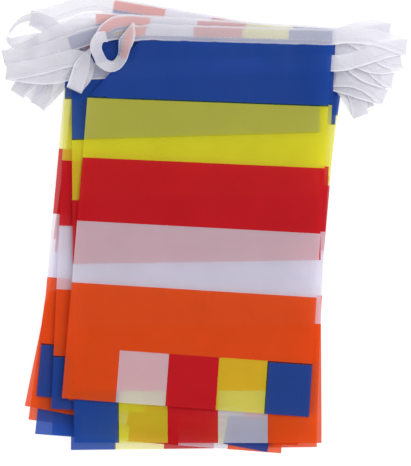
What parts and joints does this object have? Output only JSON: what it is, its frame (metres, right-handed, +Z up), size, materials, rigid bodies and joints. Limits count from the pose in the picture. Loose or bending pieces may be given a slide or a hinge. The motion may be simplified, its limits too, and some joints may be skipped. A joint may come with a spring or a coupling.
{
  "type": "folded string of buddhist flags",
  "caption": "String of sheer five-band polyester flags on one white header tape, folded zigzag and laid down as a flat pile with the tape's loops at both sides.",
  "frame": {"origin": "centre of the pile's box, at the surface it lies on", "axes": "+Y from the flags' hems up to the header tapes, +X along the tapes, +Z up out of the pile"},
  "size_m": [0.2312, 0.2606, 0.0386],
  "materials": {
    "flag_front": "sheer plain-weave printed polyester, face side up, in bands of blue, yellow, red, white and orange",
    "flag_back": "sheer plain-weave printed polyester, reverse side up, in bands of blue, yellow, red, white and orange",
    "header_tape": "soft sheer white polyester ribbon, folded lengthwise and sewn"
  },
  "bodies": {
    "root": {"flag_01": "flag_front", "flag_02": "flag_back", "flag_03": "flag_front", "flag_04": "flag_back", "flag_05": "flag_front", "flag_06": "flag_back", "flag_07": "flag_front", "flag_08": "flag_back", "flag_09": "flag_front", "flag_10": "flag_back", "flag_11": "flag_front", "flag_12": "flag_back", "flag_13": "flag_front", "flag_14": "flag_back", "flag_15": "flag_front", "flag_16": "flag_back", "header_tape": "header_tape"}
  },
  "joints": []
}
